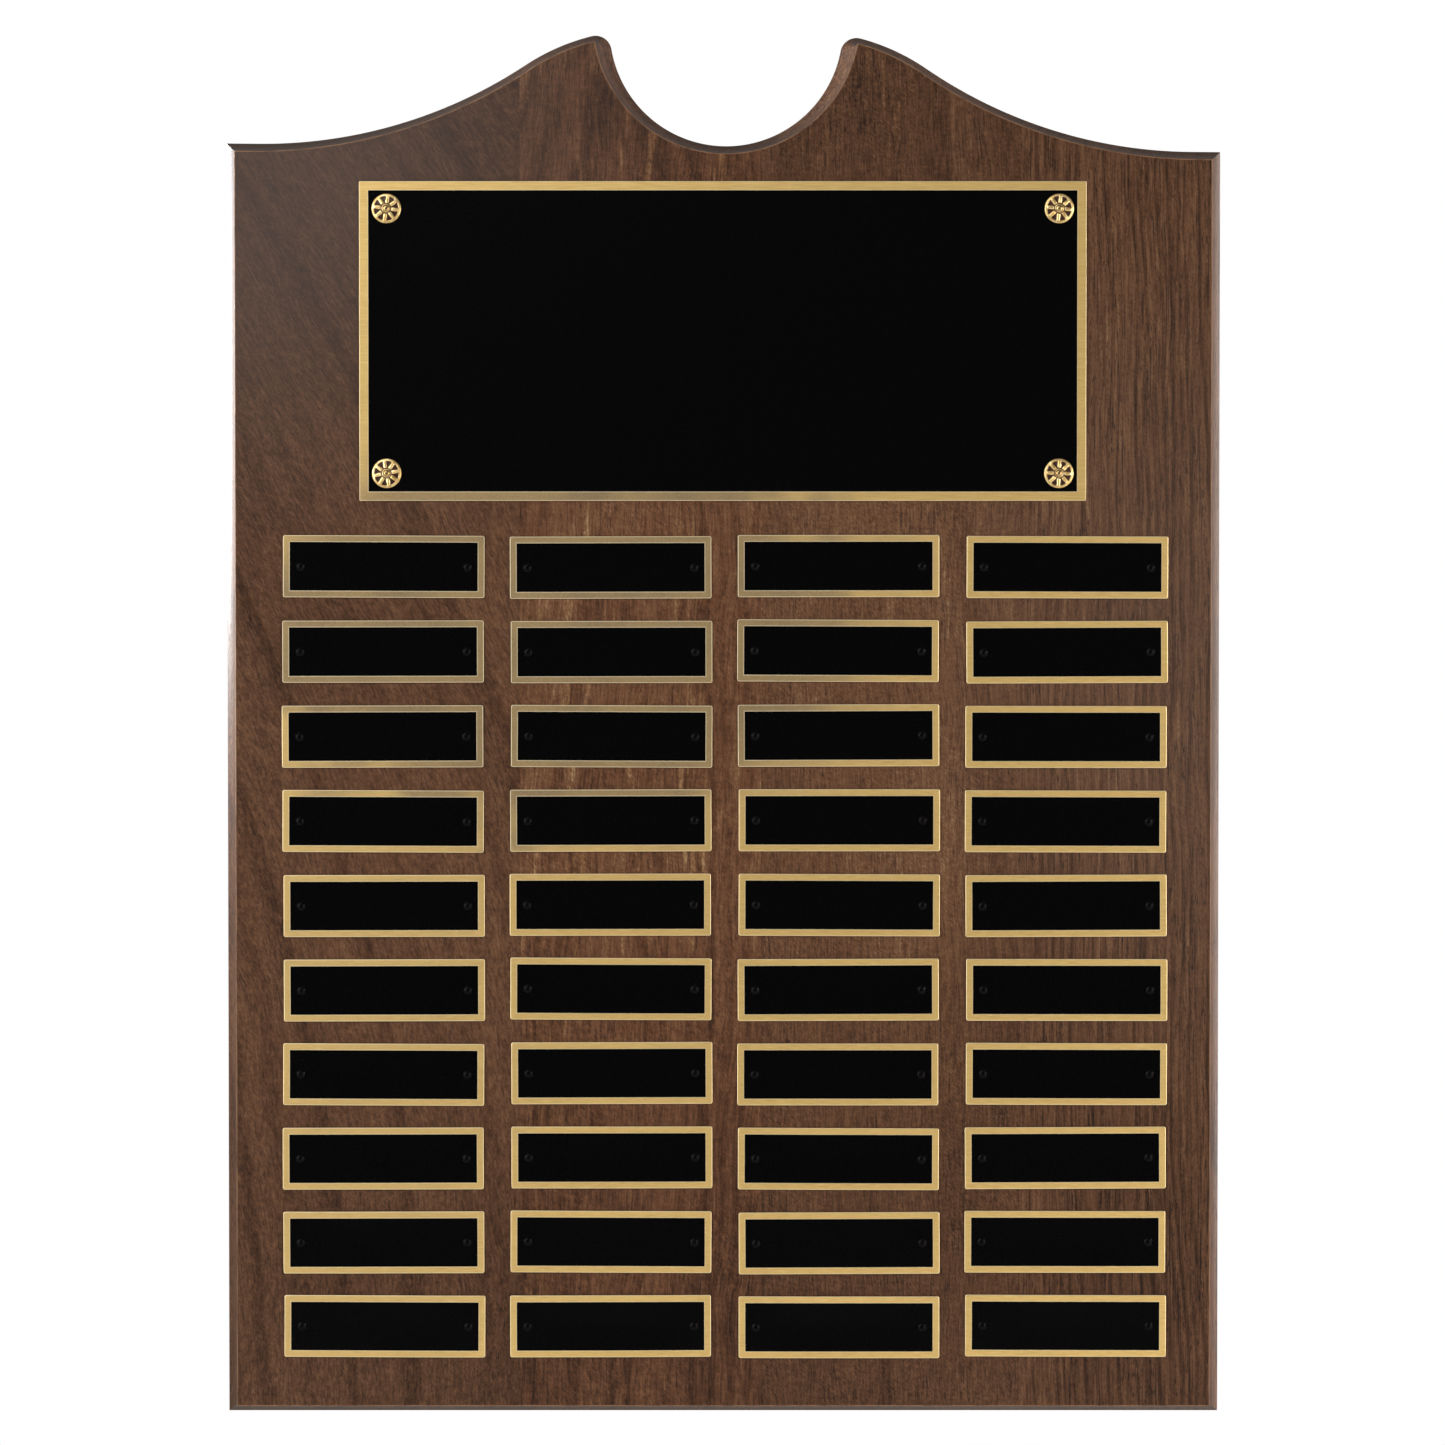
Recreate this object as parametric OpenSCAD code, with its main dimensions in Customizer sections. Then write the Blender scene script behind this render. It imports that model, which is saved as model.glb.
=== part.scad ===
// Perpetual award plaque: an edge-glued walnut board with a shaped top and a coved edge,
// a large header plate held by rosettes, and a grid of small name plates held by pins.
//
// Frame: +Z up, the front faces -Y, the back lies on y = 0, x = 0 is the board's middle and
// z = 0 is half way between its bottom edge and the tips of its horns.
// Outlines are drawn flat: x is across, y is up the board and the extrusion rises from the
// back to the front. upright() stands them up.

/* [Board] */
// Width of the board across its back
board_w = 380; // [340:1:440]
// Height of the bottom edge below the middle of the board
bottom_z = 264.4; // [262:0.1:300]
// Height of the level shoulders above the middle of the board
shoulder_z = 220; // [215:0.1:230]
// Thickness of the board
board_t = 19; // [16:0.5:25]

/* [Shaped top] */
// Distance from the middle to where each shoulder curve levels out
shoulder_x = 178.1; // [175:0.1:185]
// Radius of the hollow shoulder curve
shoulder_r = 182.4; // [175:0.1:190]
// Angle at which the hollow curve turns into the crown curve
shoulder_sweep = 33.8; // [30:0.1:36]
// Radius of the round crown curve that ends in the horn
crown_r = 82; // [68:0.5:90]
// Radius of the round bite between the horns
bite_r = 44.5; // [40:0.5:50]
// Height of the bite's centre above the middle of the board
bite_z = 265.1; // [262:0.1:272]
// Radius of the horns' rounded tips
horn_r = 6.2; // [6.2:0.1:8]
// Angle by which the shaped top is cut out of square with the sides
top_tilt = 0.5; // [0:0.05:0.6]
// How far the shaped top sits off the middle of the board
top_shift = -1.2; // [-2:0.1:2]

/* [Coved edge] */
// How far the front face is set in from the back outline
cove_w = 5.6; // [4:0.1:5.7]
// Thickness of the square land left below the cove
cove_land = 3; // [2:0.5:6]

/* [Staves] */
// Glue line between the first and second staves
joint_1_x = -76.8; // [-80:0.1:-76]
// Glue line between the second and third staves
joint_2_x = 14.2; // [13.5:0.1:20]
// Glue line between the third and fourth staves
joint_3_x = 112.1; // [104:0.1:118]

/* [Header plate] */
// Width of the header plate
header_w = 274; // [250:1:290]
// Height of the header plate
header_h = 120.2; // [110:0.1:124]
// Thickness of the header plate
header_t = 0.8; // [0.5:0.1:1.2]
// Height of the header plate's centre above the middle of the board
header_z = 144.2; // [142:0.1:148]
// How far the header plate sits off the middle of the board
header_x = -0.2; // [-2:0.1:2]

/* [Rosettes] */
// Diameter of a rosette
rosette_d = 11.2; // [9:0.1:14]
// Thickness of a rosette's rim
rosette_rim_t = 0.4; // [0.3:0.1:0.8]
// Rise of a rosette's dome above its rim
rosette_dome = 1.1; // [0.6:0.1:2]
// Distance from the header plate's edges to a rosette's centre
rosette_inset = 10.3; // [8:0.1:16]

/* [Name plates] */
// Width of a name plate
plate_w = 76; // [70:0.5:80]
// Height of a name plate
plate_h = 23.4; // [20:0.1:28]
// Thickness of a name plate
plate_t = 0.6; // [0.4:0.1:1]
// Radius of a name plate's corners
plate_corner_r = 0.7; // [0.3:0.1:2]
// Distance between the centres of neighbouring columns
column_pitch = 86; // [84:0.1:90]
// Distance between the centres of neighbouring rows
row_pitch = 31.95; // [30:0.05:32.5]
// Height of the first row's centres above the middle of the board
first_row_z = 59.2; // [56:0.1:60]
// How far the grid of name plates sits off the middle of the board
grid_x = 0.6; // [-2:0.1:2]
// Distance from a name plate's centre to each of its pins
pin_offset = 31.5; // [28:0.1:34]
// Furthest that a plate set by hand wanders from the grid
plate_wander = 0.3; // [0:0.05:0.5]
// Largest tilt of a plate set by hand
plate_tilt = 0.25; // [0:0.05:0.5]

/* [Pins] */
// Diameter of a pin's shank
pin_d = 1.2; // [0.8:0.1:1.4]
// Length of a pin's shank below its head
pin_len = 10; // [8:0.5:12]
// Diameter of a name plate pin's round head
pin_head_d = 3.6; // [2.6:0.1:4.5]
// Diameter of a rosette pin's round head
rosette_pin_head_d = 2.9; // [2:0.1:4]

/* [Wall hanging] */
// Distance between the two keyholes in the back
keyhole_spacing = 254; // [240:1:290]
// Height of the keyholes' round entries above the middle of the board
keyhole_z = 155; // [145:1:165]
// Diameter of the round entry, which the screw's head goes through
keyhole_entry_d = 9.5; // [8:0.1:11]
// Width of the neck, which the screw's shank slides up
keyhole_neck_w = 4.8; // [4:0.1:5.5]
// How far the screw slides up from the entry's centre
keyhole_travel = 14; // [10:1:18]
// Depth of the keyhole pocket
keyhole_depth = 9.5; // [8:0.5:11]
// Thickness of the lip that holds the screw's head
keyhole_lip = 4; // [3:0.5:5]

/* [Hidden] */
rows = 10;
columns = 4;
clear = 0.02;           // gap between a pin's shank and the wood or metal round it
over = 1;               // how far a cutter runs past what it cuts
overlap = 0.05;         // how far neighbouring curves overlap, so that they cross and don't just touch
run_on = 3;             // degrees by which a cutter's arc runs on past the curve it crosses
head_rise = 0.26;       // a pin head's height as a part of its diameter
$fn = 96;

half_w = board_w / 2;
stave_edges = [-half_w, joint_1_x, joint_2_x, joint_3_x, half_w];

// Centres of the curves of the right half of the top: the shoulder's hollow, the crown,
// the bite, and the horn's tip, which touches the crown from inside and the bite from outside
shoulder_c = [shoulder_x, shoulder_z + shoulder_r];
sweep_dir = [sin(shoulder_sweep), cos(shoulder_sweep)];
inflection = shoulder_c - shoulder_r * sweep_dir;
crown_c = inflection - (crown_r - overlap) * sweep_dir;
bite_c = [0, bite_z];
horn_c = circles_meet(crown_c, crown_r - horn_r + overlap, bite_c, bite_r + horn_r - overlap);
crown_horn_a = heading(horn_c - crown_c);
horn_bite_a = heading(bite_c - horn_c);

// Radius of the cove, which leaves the front face at a right angle
cove_drop = board_t - cove_land;
cove_r = (pow(cove_drop, 2) + pow(cove_w, 2)) / (2 * cove_w);

header_pins = [for (x = [-1, 1], z = [1, -1])
    [header_x + x * (header_w / 2 - rosette_inset), header_z + z * (header_h / 2 - rosette_inset)]];
name_pins = [for (r = [1:rows], c = [1:columns], side = [-1, 1])
    plate_c(r, c) + side * pin_offset * [cos(plate_a(r, c)), sin(plate_a(r, c))]];

// Direction of a vector, in degrees
function heading(v) = atan2(v.y, v.x);

// The right-hand point where two circles meet
function circles_meet(c1, r1, c2, r2) =
    let (
        gap = c2 - c1,
        d = norm(gap),
        along = (d * d + r1 * r1 - r2 * r2) / (2 * d),
        aside = sqrt(r1 * r1 - along * along),
        dir = gap / d)
    c1 + along * dir + aside * [dir.y, -dir.x];

// Name of the plate in row r, counted from the top, and column c, from the left
function plate_name(r, c) = str("name_plate_r", r < 10 ? "0" : "", r, "_c", c);

// A repeatable spread of values from -1 to 1, one for each plate and each use
function spread(r, c, use) = sin(137.5 * (columns * r + c) + 97 * use * r);

// Where a plate's centre really is, and how it is tilted
function plate_c(r, c) = [
    grid_x + (c - (columns + 1) / 2) * column_pitch + plate_wander * spread(r, c, 1),
    first_row_z - (r - 1) * row_pitch + plate_wander * spread(r, c, 2)];
function plate_a(r, c) = plate_tilt * spread(r, c, 3);

// The pins that stand in one stave
function pins_in(pins, i) = [for (p = pins) if (p.x > stave_edges[i - 1] && p.x < stave_edges[i]) p];

module upright() rotate([90, 0, 0]) children();

module rounded_rect(w, h, r) {
    square([w - 2 * r, h], center = true);
    square([w, h - 2 * r], center = true);
    for (x = [-1, 1], y = [-1, 1])
        translate([x * (w / 2 - r), y * (h / 2 - r)]) circle(r);
}

// Everything that belongs to the shaped top is shifted and turned together
module top_frame() translate([top_shift, 0, 0]) rotate([0, 0, -top_tilt]) children();

// Back outline of the board: a rectangle with two crowns added, from which the shoulders,
// the bite and the corners outside the horns' round tips are taken
module outline() {
    difference() {
        union() {
            translate([-half_w, -bottom_z]) square([board_w, bottom_z + shoulder_z - over]);
            intersection() {
                top_frame() {
                    translate([-board_w, 0]) square([2 * board_w, inflection.y]);
                    for (side = [-1, 1])
                        translate([side * crown_c.x, crown_c.y]) circle(crown_r, $fn = 360);
                }
                translate([-half_w, -bottom_z]) square([board_w, 3 * bottom_z]);
            }
        }
        top_frame() {
            for (side = [-1, 1]) {
                translate([side * shoulder_c.x, shoulder_c.y]) circle(shoulder_r, $fn = 720);
                translate([side * (shoulder_x + half_w / 2), shoulder_z + overlap + half_w / 2])
                    square(half_w, center = true);
                horn_corner(side);
            }
            translate(bite_c) circle(bite_r, $fn = 360);
        }
    }
}

// The sharp corner that is rounded off a horn, on the right for side 1 or the left for -1
module horn_corner(side) {
    reach = 2 * horn_r;
    crown_dir = reach * [side * cos(crown_horn_a), sin(crown_horn_a)];
    bite_dir = reach * [side * cos(horn_bite_a), sin(horn_bite_a)];
    wedge = [[0, 0], crown_dir, crown_dir + bite_dir, bite_dir];
    translate([side * horn_c.x, horn_c.y]) difference() {
        polygon(side > 0 ? wedge : [for (i = [3:-1:0]) wedge[i]]);
        circle(horn_r);
    }
}

// What the cove cutter takes off: x is the distance in from the back outline
module cove_profile() {
    intersection() {
        translate([cove_w - cove_r, board_t]) circle(cove_r, $fn = 180);
        translate([-over, 0]) square([cove_w + 2 * over, board_t + over]);
    }
}

// The cutter's path along a straight edge, with the board on its +x side
module cove_run(len) rotate([90, 0, 0]) linear_extrude(len, center = true) cove_profile();

// The cutter's path along an arc of the right-hand side, or its mirror image for side -1
module cove_arc(c, r, from, to, side)
    translate([side * c.x, c.y, 0])
        rotate_extrude(angle = to - from, start = side > 0 ? from : 180 - to, $fn = 360)
            translate([r, 0]) children();

module inward_profile() mirror([1, 0]) cove_profile();

module cove_bottom() translate([0, -bottom_z, 0]) rotate([0, 0, 90]) cove_run(board_w + 2 * over);
module cove_side(side)
    rotate([0, 0, side < 0 ? 0 : 180]) translate([-half_w, 0, 0]) cove_run(3 * bottom_z);
module cove_level(side)
    top_frame() translate([side * (shoulder_x + half_w / 4), shoulder_z + overlap, 0])
        rotate([0, 0, -90]) cove_run(half_w / 2);
module cove_shoulder(side)
    top_frame()
        cove_arc(shoulder_c, shoulder_r, 270 - shoulder_sweep - run_on, 270 + run_on, side) cove_profile();
module cove_crown(side)
    top_frame()
        cove_arc(crown_c, crown_r, 90 - shoulder_sweep, crown_horn_a + run_on, side) inward_profile();
module cove_horn(side)
    top_frame() cove_arc(horn_c, horn_r, crown_horn_a, horn_bite_a, side) inward_profile();
module cove_bite(side)
    top_frame() cove_arc(bite_c, bite_r, 250, 180 + horn_bite_a + run_on, side) cove_profile();

// The board between two glue lines, before its edges are moulded
module stave_blank(i) {
    x = stave_edges[i - 1];
    intersection() {
        linear_extrude(board_t) outline();
        translate([x, -bottom_z - over, -over])
            cube([stave_edges[i] - x, 3 * bottom_z, board_t + 2 * over]);
    }
}

// An outer stave's cove runs down its side, an inner stave's over its horn and round the bite
module outer_stave(i, side) {
    difference() {
        stave_blank(i);
        cove_bottom();
        cove_side(side);
        cove_level(side);
        cove_shoulder(side);
    }
}

module inner_stave(i, side) {
    difference() {
        stave_blank(i);
        cove_bottom();
        cove_shoulder(side);
        cove_crown(side);
        cove_horn(side);
        cove_bite(side);
    }
}

// Pocket for the head of a wall screw: a round entry, and a neck with a wider space behind it
module keyhole() {
    entry_r = keyhole_entry_d / 2;
    translate([0, 0, -over]) {
        cylinder(r = entry_r, h = keyhole_depth + over);
        slot(keyhole_neck_w, keyhole_depth + over);
    }
    translate([0, 0, keyhole_lip]) slot(keyhole_entry_d, keyhole_depth - keyhole_lip);
}

module slot(w, depth) {
    translate([0, keyhole_travel, 0]) cylinder(d = w, h = depth);
    translate([-w / 2, 0, 0]) cube([w, keyhole_travel, depth]);
}

module pilot_holes(pins) {
    for (p = pins)
        translate([p.x, p.y, board_t - pin_len - clear])
            cylinder(d = pin_d + 2 * clear, h = pin_len + clear + over, $fn = 24);
}

module stave(i) {
    side = i < 3 ? -1 : 1;
    color("#5b4031") upright() difference() {
        if (i == 1 || i == 4) outer_stave(i, side);
        else inner_stave(i, side);
        pilot_holes(pins_in(concat(header_pins, name_pins), i));
        translate([side * keyhole_spacing / 2, keyhole_z, 0]) keyhole();
    }
}

module header_plate() {
    color("#15130f") upright() translate([0, 0, board_t]) difference() {
        translate([header_x, header_z, 0]) linear_extrude(header_t)
            square([header_w, header_h], center = true);
        for (p = header_pins)
            translate([p.x, p.y, -over])
                cylinder(d = pin_d + 2 * clear, h = header_t + 2 * over, $fn = 24);
    }
}

// Half section of a cap that is a slice of a ball, with its flat side down
module cap_section(d, rise) {
    ball_r = (pow(d / 2, 2) + pow(rise, 2)) / (2 * rise);
    intersection() {
        translate([0, rise - ball_r]) circle(ball_r);
        square([d / 2, rise]);
    }
}

module rosette(i) {
    color("#d9b870") upright()
        translate([header_pins[i - 1].x, header_pins[i - 1].y, board_t + header_t]) difference() {
            rotate_extrude() {
                square([rosette_d / 2, rosette_rim_t]);
                translate([0, rosette_rim_t]) cap_section(rosette_d - 1.2, rosette_dome - rosette_rim_t);
            }
            translate([0, 0, -over]) cylinder(d = pin_d + 2 * clear, h = 2 * over + rosette_dome, $fn = 24);
        }
}

// A pin with its head's flat side at height 0 and its shank below
module pin(head_d, shank_len) {
    rotate_extrude($fn = 48) {
        translate([0, -shank_len]) square([pin_d / 2, shank_len]);
        cap_section(head_d, head_rise * head_d);
    }
}

module rosette_pins() {
    stack = header_t + rosette_dome;
    color("#caa559") upright() for (p = header_pins)
        translate([p.x, p.y, board_t + stack]) pin(rosette_pin_head_d, pin_len + stack);
}

module name_plate(r, c) {
    color("#15130f") upright() translate([0, 0, board_t]) difference() {
        translate(plate_c(r, c)) rotate([0, 0, plate_a(r, c)])
            linear_extrude(plate_t) rounded_rect(plate_w, plate_h, plate_corner_r);
        for (i = [0, 1]) {
            p = name_pins[2 * (columns * (r - 1) + c - 1) + i];
            translate([p.x, p.y, -over])
                cylinder(d = pin_d + 2 * clear, h = plate_t + 2 * over, $fn = 24);
        }
    }
}

module name_plate_pins() {
    color("#1c1b1e") upright() for (p = name_pins)
        translate([p.x, p.y, board_t + plate_t]) pin(pin_head_d, pin_len + plate_t);
}

for (i = [1:4]) {
    stave(i);
    rosette(i);
}
for (r = [1:rows], c = [1:columns])
    name_plate(r, c);
header_plate();
rosette_pins();
name_plate_pins();
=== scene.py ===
"""Looks of the award plaque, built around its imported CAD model.

The CAD nodes give every place and size. Each one is replaced by a finer mesh in the same place:
walnut staves with a moulded edge, lacquered brass plates that are slightly bowed, stamped
rosettes and round-headed pins. All lengths are in metres and all angles in degrees, unless a
name says otherwise.
"""

import math

import bmesh
import bpy
from mathutils import Matrix, Vector


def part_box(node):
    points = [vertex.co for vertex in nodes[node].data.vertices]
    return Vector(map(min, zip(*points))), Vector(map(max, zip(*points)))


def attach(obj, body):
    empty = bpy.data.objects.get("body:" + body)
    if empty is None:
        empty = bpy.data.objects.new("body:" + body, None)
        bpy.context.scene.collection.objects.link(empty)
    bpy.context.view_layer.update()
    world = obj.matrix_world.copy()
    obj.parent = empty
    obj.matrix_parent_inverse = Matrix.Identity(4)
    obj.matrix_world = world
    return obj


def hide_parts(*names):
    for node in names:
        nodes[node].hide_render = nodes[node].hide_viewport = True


MM = 0.001

# The board's outline, as in the CAD source, in millimetres
BOARD_T = 19.0
SHOULDER_X, SHOULDER_Z, SHOULDER_R, SHOULDER_SWEEP = 178.1, 220.0, 182.4, 33.8
CROWN_R, BITE_R, BITE_Z, HORN_R = 82.0, 44.5, 265.1, 6.2
TOP_TILT, TOP_SHIFT = 0.5, -1.2
COVE_W, COVE_LAND = 5.6, 3.0
BOARD_FOOT = 264.4
ARRIS_R = 0.35
BACK_EASE = 0.4
KEYHOLE_SPACING, KEYHOLE_Z = 254.0, 155.0
KEYHOLE_ENTRY_R, KEYHOLE_NECK_R = 4.75, 2.4
KEYHOLE_TRAVEL, KEYHOLE_LIP, KEYHOLE_DEPTH = 14.0, 4.0, 9.5

# Plates, in millimetres. The lift is how far a plate's back would stand off the wood if it were flat
NAME_W, NAME_H, NAME_CORNER, NAME_BORDER = 76.0, 23.4, 0.7, 2.52
HEADER_CORNER, HEADER_BORDER = 0.3, 3.44
PLATE_BEVEL, PLATE_LIFT = 0.12, 0.12

# Rosettes, with the share of the radius that the pin's hole takes up
ROSETTE_PETALS, ROSETTE_HOLE = 8, 0.1

# Pins, in millimetres: head radius, head height and shank length
PIN_SHANK_R = 0.6
ROSETTE_PIN = (1.45, 0.754, 11.9)
NAME_PIN = (1.8, 0.876, 10.5)
NAME_PIN_LIFT = 0.06  # the plates are bowed, so these heads stand a little in front of their CAD faces

# Edges bent by more than this stay sharp
SHARP_DEGREES = 32

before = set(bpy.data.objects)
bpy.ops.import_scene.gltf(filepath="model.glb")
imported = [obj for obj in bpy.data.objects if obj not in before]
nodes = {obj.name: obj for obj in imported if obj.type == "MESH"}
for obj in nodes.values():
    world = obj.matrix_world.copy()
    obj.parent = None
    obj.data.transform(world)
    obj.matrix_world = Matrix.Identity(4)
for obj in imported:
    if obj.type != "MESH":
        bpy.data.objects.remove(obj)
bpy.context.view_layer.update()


# ---------------------------------------------------------------- small helpers


def direction(degrees):
    return Vector((math.cos(math.radians(degrees)), math.sin(math.radians(degrees))))


def heading(vector):
    return math.degrees(math.atan2(vector.y, vector.x))


def smooth(low, high, value):
    t = min(max((value - low) / (high - low), 0.0), 1.0)
    return t * t * (3 - 2 * t)


def middle(node):
    low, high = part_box(node)
    return (low + high) / 2


def link_mesh(name, mesh, materials):
    """A new object in the scene, with its materials in order, riding on the one body."""
    piece = bpy.data.objects.new(name, mesh)
    bpy.context.scene.collection.objects.link(piece)
    for material in materials:
        mesh.materials.append(material)
    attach(piece, "root")
    return piece


def finish_mesh(bm, name, sharp_degrees=SHARP_DEGREES):
    """Turns a bmesh into a mesh, smooth but for its sharp edges."""
    bmesh.ops.recalc_face_normals(bm, faces=bm.faces)
    mesh = bpy.data.meshes.new(name)
    bm.to_mesh(mesh)
    bm.free()
    mesh.shade_smooth()
    mesh.set_sharp_from_angle(angle=math.radians(sharp_degrees))
    return mesh


def bridge(bm, rings):
    """Quads between each ring of vertices and the next, all closed rings of equal length."""
    for lower, upper in zip(rings, rings[1:]):
        count = len(lower)
        for i in range(count):
            j = (i + 1) % count
            bm.faces.new((lower[i], lower[j], upper[j], upper[i]))


# ---------------------------------------------------------------- materials


class Graph:
    """The nodes of a material or a world, with short ways to add them. Its points are in millimetres."""

    def __init__(self, owner):
        self.owner = owner
        owner.use_nodes = True
        self.tree = owner.node_tree
        self.tree.nodes.clear()

    def set(self, socket, value):
        if isinstance(value, bpy.types.NodeSocket):
            self.tree.links.new(value, socket)
        else:
            socket.default_value = value

    def node(self, kind, inputs=None, **settings):
        new = self.tree.nodes.new(kind)
        for name, value in settings.items():
            setattr(new, name, value)
        for name, value in (inputs or {}).items():
            self.set(new.inputs[name], value)
        return new

    def math(self, operation, *values):
        new = self.node("ShaderNodeMath", operation=operation)
        for socket, value in zip(new.inputs, values):
            self.set(socket, value)
        return new.outputs[0]

    def vector(self, operation, *values):
        new = self.node("ShaderNodeVectorMath", operation=operation)
        for socket, value in zip(new.inputs, values):
            self.set(socket, value)
        return new.outputs[0]

    def total(self, *values):
        result = values[0]
        for value in values[1:]:
            result = self.math("ADD", result, value)
        return result

    def hypotenuse(self, a, b):
        return self.math("SQRT", self.total(self.math("MULTIPLY", a, a), self.math("MULTIPLY", b, b)))

    def remap(self, value, low, high, to_low=0.0, to_high=1.0):
        inputs = {"Value": value, "From Min": low, "From Max": high,
                  "To Min": to_low, "To Max": to_high}
        new = self.node("ShaderNodeMapRange", inputs, interpolation_type="SMOOTHSTEP")
        return new.outputs["Result"]

    def mix(self, factor, a, b, blend="MIX"):
        new = self.node("ShaderNodeMix", data_type="RGBA", blend_type=blend)
        for socket, value in ((new.inputs[0], factor), (new.inputs[6], a), (new.inputs[7], b)):
            self.set(socket, value)
        return new.outputs[2]

    def place(self, offset=(0.0, 0.0, 0.0), lean=0.0):
        """The point in millimetres, moved by offset and turned by lean about the board's normal."""
        point = self.node("ShaderNodeTexCoord").outputs["Object"]
        point = self.vector("MULTIPLY", point, (1000.0, 1000.0, 1000.0))
        inputs = {"Vector": point, "Angle": math.radians(lean)}
        turned = self.node("ShaderNodeVectorRotate", inputs, rotation_type="Y_AXIS").outputs[0]
        return self.vector("ADD", turned, offset)

    def noise(self, point, size, detail=2.0, roughness=0.5):
        """Noise from 0 to 1 with features of that size in x, y and z."""
        scaled = self.vector("DIVIDE", point, size)
        inputs = {"Vector": scaled, "Scale": 1.0, "Detail": detail, "Roughness": roughness}
        return self.node("ShaderNodeTexNoise", inputs).outputs["Fac"]

    def sway(self, point, size, reach, detail=2.0):
        """Noise about zero that reaches about plus and minus reach."""
        about_zero = self.math("SUBTRACT", self.noise(point, size, detail), 0.5)
        return self.math("MULTIPLY", about_zero, 3 * reach)

    def ramp(self, factor, stops):
        new = self.node("ShaderNodeValToRGB", {"Fac": factor})
        elements = new.color_ramp.elements
        while len(elements) < len(stops):
            elements.new(0.5)
        for element, (place, colour) in zip(elements, stops):
            element.position = place
            element.color = (*colour, 1.0)
        return new.outputs["Color"]

    def bump(self, height, depth, strength=1.0):
        inputs = {"Height": height, "Distance": depth * MM, "Strength": strength}
        return self.node("ShaderNodeBump", inputs).outputs["Normal"]

    def principled(self, **inputs):
        named = {name.replace("_", " "): value for name, value in inputs.items()}
        shader = self.node("ShaderNodeBsdfPrincipled", named)
        self.node("ShaderNodeOutputMaterial", {"Surface": shader.outputs[0]})
        return self.owner


def material_graph(name):
    return Graph(bpy.data.materials.new(name))


# Walnut from its darkest pores to its palest streaks, and the arris, worn pale and with a painted
# highlight along it
WALNUT = ((0.0, (0.010, 0.005, 0.003)), (0.25, (0.040, 0.017, 0.008)), (0.5, (0.088, 0.040, 0.020)),
          (0.75, (0.140, 0.070, 0.036)), (1.0, (0.250, 0.155, 0.092)))
ARRIS_WEAR_AND_HIGHLIGHT = (0.205, 0.110, 0.060, 1.0)
# The grey of the painted sheen on the lacquer
PAINTED_SHEEN_COLOUR = (0.085, 0.064, 0.055, 1.0)

# The middle and half size, across and up, of the painted pool of light on the wood, of the painted
# sheen on it and the fainter one across from it, and of the painted shade on the brass, strong and faint
PAINTED_LIGHT_PATCH = ((-10.0, 8.0), (165.0, 150.0))
PAINTED_SHEEN_PATCH = ((-180.0, 215.0), (105.0, 95.0))
FAINT_PAINTED_SHEEN_PATCH = ((190.0, 20.0), (75.0, 110.0))
PAINTED_SHADE_PATCH = ((-62.0, 34.0), (125.0, 80.0))
FAINT_PAINTED_SHADE_PATCH = ((-150.0, -90.0), (70.0, 190.0))


def patch(g, point, place, edge):
    """1 inside an ellipse on the face and 0 outside, fading over the given share of its size."""
    axes = g.node("ShaderNodeSeparateXYZ", {"Vector": point})
    across = g.math("DIVIDE", g.math("SUBTRACT", axes.outputs["X"], place[0][0]), place[1][0])
    up = g.math("DIVIDE", g.math("SUBTRACT", axes.outputs["Z"], place[0][1]), place[1][1])
    reach = g.hypotenuse(across, up)
    return g.remap(reach, 1.0 + edge, 1.0 - edge)


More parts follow.
